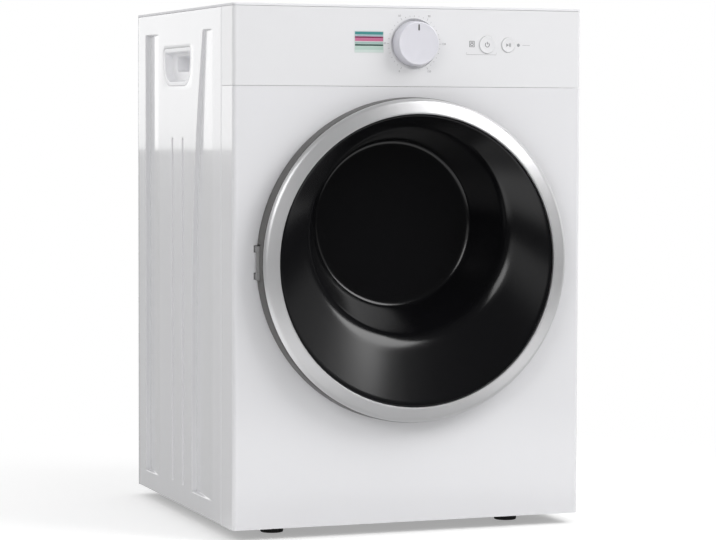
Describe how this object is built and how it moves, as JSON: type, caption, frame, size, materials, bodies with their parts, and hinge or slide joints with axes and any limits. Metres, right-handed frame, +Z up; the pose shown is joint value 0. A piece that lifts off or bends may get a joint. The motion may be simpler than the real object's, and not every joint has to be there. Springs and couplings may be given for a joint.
{
  "type": "compact tumble dryer",
  "caption": "Compact front-loading vented tumble dryer: white sheet cabinet, round silver door with a deep dark dish, timer knob, two buttons, belt-driven drum and rear exhaust spigot.",
  "frame": {"origin": "on the floor, in the middle of the footprint from the door's front to the spigot's end", "axes": "+X to the right seen from the front, +Y to the back, +Z up"},
  "size_m": [0.595, 0.632, 0.845],
  "materials": {
    "white_enamel": "gloss enamel",
    "white_plastic": "gloss",
    "cup_plastic": "fine grain",
    "galvanised": "spangled zinc",
    "zinc_part": "zinc plated",
    "dark_tray": "moulded",
    "foot_rubber": "ribbed",
    "bezel_silver": "satin silver paint",
    "dish_black": "smoked gloss",
    "frame_white": "fine grain",
    "seal_grey": "soft",
    "felt": "pressed wool felt",
    "drum_steel": "brushed",
    "lifter_grey": "moulded",
    "duct_grey": "moulded",
    "heater_metal": "finned",
    "black_plastic": "moulded",
    "motor_paint": "lamination and end bells",
    "belt_rubber": "ribbed",
    "pulley_white": "moulded",
    "knob_silver": "satin silver",
    "board_green": "solder mask",
    "lamp_lens": "clear",
    "bronze": "sintered"
  },
  "bodies": {
    "cabinet": {"base_tray": "dark_tray", "foot_lock_nuts": "zinc_part", "left_side_panel": "white_enamel", "right_side_panel": "white_enamel", "left_handle_cup": "cup_plastic", "right_handle_cup": "cup_plastic", "top_cover": "white_enamel", "rear_panel": "galvanised", "rear_panel_screws": "zinc_part", "front_panel": "white_enamel", "control_panel": "white_plastic", "front_bulkhead": "galvanised", "front_felt_ring": "felt", "heater_box": "galvanised", "heater_element": "heater_metal", "heater_thermostats": "black_plastic", "rear_bulkhead": "galvanised", "drum_bearing": "bronze", "rear_felt_ring": "felt", "air_duct": "duct_grey", "blower_housing": "duct_grey", "exhaust_duct": "duct_grey", "exhaust_spigot": "white_plastic", "motor_housing": "motor_paint", "motor_bracket": "zinc_part", "idler_bracket": "zinc_part", "idler_spring": "zinc_part", "drum_belt": "belt_rubber", "door_hinge_bracket": "zinc_part", "door_hinge_pin": "zinc_part", "door_catch": "black_plastic", "door_switch": "black_plastic", "timer_switch": "black_plastic", "button_board": "board_green", "indicator_lens": "lamp_lens", "cord_gland": "black_plastic", "terminal_block": "frame_white"},
    "door": {"door_bezel": "bezel_silver", "door_window": "dish_black", "door_inner_frame": "frame_white", "door_seal": "seal_grey", "door_hinge_strap": "zinc_part", "door_strike": "zinc_part"},
    "drum": {"drum_shell": "drum_steel", "drum_baffles": "lifter_grey", "drum_shaft": "zinc_part"},
    "filter": {"lint_filter": "frame_white"},
    "rotor": {"motor_shaft": "zinc_part", "motor_pulley": "zinc_part", "blower_impeller": "pulley_white"},
    "tension_arm": {"idler_arm": "zinc_part"},
    "tension_wheel": {"idler_pulley": "pulley_white"},
    "timer_dial": {"timer_knob": "knob_silver"},
    "power_key": {"power_button": "white_plastic"},
    "start_key": {"start_button": "white_plastic"},
    "switch_pin": {"door_switch_plunger": "pulley_white"},
    "foot_1": {"foot_front_left": "foot_rubber"},
    "foot_2": {"foot_front_right": "foot_rubber"},
    "foot_3": {"foot_rear_left": "foot_rubber"},
    "foot_4": {"foot_rear_right": "foot_rubber"}
  },
  "joints": [
    {"name": "door_hinge", "type": "hinge", "parent": "cabinet", "child": "door", "pos_m": [-0.257, -0.284, 0.44], "axis": [0, 0, -1], "range_deg": [0, 105]},
    {"name": "drum_spin", "type": "hinge", "parent": "cabinet", "child": "drum", "pos_m": [0, 0, 0.44], "axis": [0, 1, 0], "continuous": true},
    {"name": "lint_filter_pull", "type": "slide", "parent": "drum", "child": "filter", "axis": [0, -1, 0], "range_m": [0, 0.06]},
    {"name": "motor_spin", "type": "hinge", "parent": "cabinet", "child": "rotor", "pos_m": [0.19, 0.1, 0.105], "axis": [0, 1, 0], "continuous": true},
    {"name": "idler_arm_swing", "type": "hinge", "parent": "cabinet", "child": "tension_arm", "pos_m": [0.072, 0.048, 0.13601], "axis": [0, 1, 0], "range_deg": [0, 20], "stiffness_Nm_per_rad": 4, "springref_deg": -20.05, "deforming": ["idler_spring"]},
    {"name": "idler_spin", "type": "hinge", "parent": "tension_arm", "child": "tension_wheel", "pos_m": [0.135, 0.0375, 0.13997], "axis": [0, 1, 0], "continuous": true},
    {"name": "timer_turn", "type": "hinge", "parent": "cabinet", "child": "timer_dial", "pos_m": [0.005, -0.275, 0.785], "axis": [0, 1, 0], "range_deg": [0, 330]},
    {"name": "power_press", "type": "slide", "parent": "cabinet", "child": "power_key", "axis": [0, 1, 0], "range_m": [0, 0.0025], "stiffness_N_per_m": 400, "springref_m": -0.001},
    {"name": "start_press", "type": "slide", "parent": "cabinet", "child": "start_key", "axis": [0, 1, 0], "range_m": [0, 0.0025], "stiffness_N_per_m": 400, "springref_m": -0.001},
    {"name": "door_switch_press", "type": "slide", "parent": "cabinet", "child": "switch_pin", "axis": [0, -1, 0], "range_m": [0, 0.004]},
    {"name": "foot_1_turn", "type": "hinge", "parent": "cabinet", "child": "foot_1", "pos_m": [-0.205, -0.19, 0], "axis": [0, 0, 1], "continuous": true},
    {"name": "foot_2_turn", "type": "hinge", "parent": "cabinet", "child": "foot_2", "pos_m": [0.205, -0.19, 0], "axis": [0, 0, 1], "continuous": true},
    {"name": "foot_3_turn", "type": "hinge", "parent": "cabinet", "child": "foot_3", "pos_m": [-0.205, 0.245, 0], "axis": [0, 0, 1], "continuous": true},
    {"name": "foot_4_turn", "type": "hinge", "parent": "cabinet", "child": "foot_4", "pos_m": [0.205, 0.245, 0], "axis": [0, 0, 1], "continuous": true}
  ],
  "couplings": [
    {"joint": "motor_spin", "follows": "drum_spin", "ratio": 29.021},
    {"joint": "idler_spin", "follows": "drum_spin", "ratio": -12.898},
    {"joint": "door_switch_press", "follows": "door_hinge", "m_per_rad": 0.002182}
  ]
}
